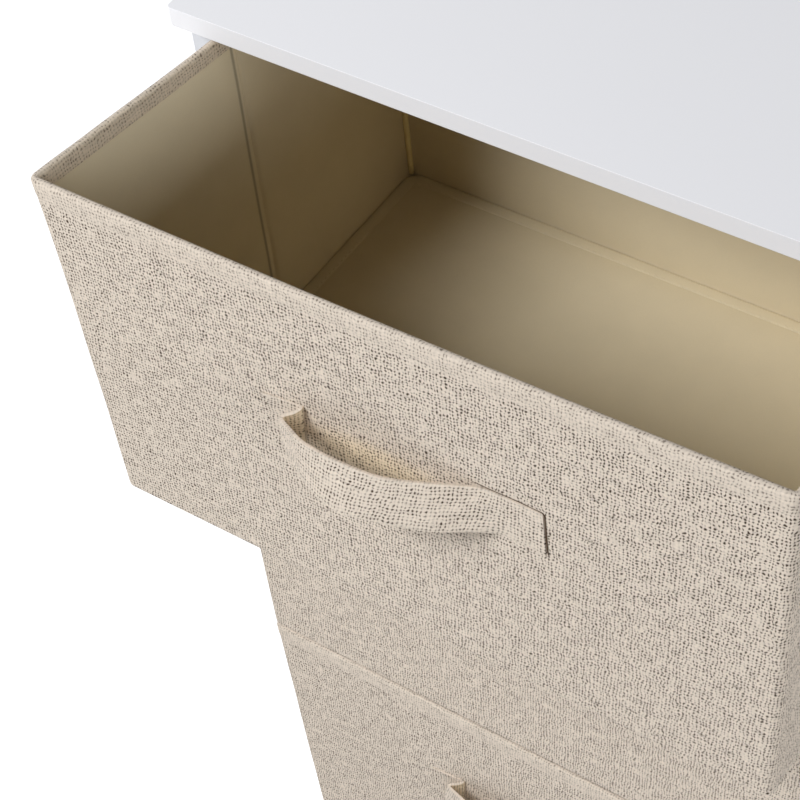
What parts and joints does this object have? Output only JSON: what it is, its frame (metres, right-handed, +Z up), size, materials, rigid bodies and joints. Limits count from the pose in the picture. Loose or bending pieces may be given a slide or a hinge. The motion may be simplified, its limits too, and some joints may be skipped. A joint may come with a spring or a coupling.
{
  "type": "fabric drawer dresser",
  "caption": "Steel-frame dresser with a white board top and linen-covered fabric drawers that slide out by strap handles.",
  "frame": {"origin": "floor level under the middle of the whole length and width, the open top drawer and its handle included", "axes": "+Z up, -Y towards the drawer fronts, +X to the right seen from the front"},
  "size_m": [0.4436, 0.463, 0.748],
  "materials": {
    "white_steel": "white powder coat, satin",
    "white_board": "white laminate on fibreboard, satin, softly rounded edges",
    "foot_plastic": "moulded, fine grain",
    "zinc_fastener": "white-lacquered heads",
    "insert_steel": "plain zinc",
    "linen": "flecked linen weave, matt",
    "lining": "plain non-woven, matt",
    "stiffener_board": "plain",
    "base_insert": "board wrapped in non-woven lining, bound edge"
  },
  "bodies": {
    "frame": {"back_left_foot": "foot_plastic", "back_left_leg": "white_steel", "back_right_foot": "foot_plastic", "back_right_leg": "white_steel", "board_screws": "zinc_fastener", "bolt_inserts": "insert_steel", "bottom_back_stop": "white_steel", "bottom_front_tube": "white_steel", "bottom_left_rail": "white_steel", "bottom_left_runner": "white_steel", "bottom_right_rail": "white_steel", "bottom_right_runner": "white_steel", "frame_bolts": "zinc_fastener", "front_left_foot": "foot_plastic", "front_left_leg": "white_steel", "front_right_foot": "foot_plastic", "front_right_leg": "white_steel", "middle_back_stop": "white_steel", "middle_left_rail": "white_steel", "middle_left_runner": "white_steel", "middle_right_rail": "white_steel", "middle_right_runner": "white_steel", "top_back_stop": "white_steel", "top_back_tube": "white_steel", "top_board": "white_board", "top_front_tie": "white_steel", "top_left_rail": "white_steel", "top_left_runner": "white_steel", "top_right_rail": "white_steel", "top_right_runner": "white_steel", "upper_left_rail": "white_steel", "upper_right_rail": "white_steel"},
    "bottom_drawer": {"bottom_drawer_back_board": "stiffener_board", "bottom_drawer_base_insert": "base_insert", "bottom_drawer_cover": "linen", "bottom_drawer_front_board": "stiffener_board", "bottom_drawer_handle": "linen", "bottom_drawer_left_boards": "stiffener_board", "bottom_drawer_lining": "lining", "bottom_drawer_right_boards": "stiffener_board"},
    "middle_drawer": {"middle_drawer_back_board": "stiffener_board", "middle_drawer_base_insert": "base_insert", "middle_drawer_cover": "linen", "middle_drawer_front_board": "stiffener_board", "middle_drawer_handle": "linen", "middle_drawer_left_boards": "stiffener_board", "middle_drawer_lining": "lining", "middle_drawer_right_boards": "stiffener_board"},
    "top_drawer": {"top_drawer_back_board": "stiffener_board", "top_drawer_base_insert": "base_insert", "top_drawer_cover": "linen", "top_drawer_front_board": "stiffener_board", "top_drawer_handle": "linen", "top_drawer_left_boards": "stiffener_board", "top_drawer_lining": "lining", "top_drawer_right_boards": "stiffener_board"}
  },
  "joints": [
    {"name": "bottom_drawer_slide", "type": "slide", "parent": "frame", "child": "bottom_drawer", "axis": [0, -1, 0], "range_m": [-0.041, 0.169]},
    {"name": "middle_drawer_slide", "type": "slide", "parent": "frame", "child": "middle_drawer", "axis": [0, -1, 0], "range_m": [-0.041, 0.169]},
    {"name": "top_drawer_slide", "type": "slide", "parent": "frame", "child": "top_drawer", "axis": [0, -1, 0], "range_m": [-0.126, 0.084]}
  ]
}
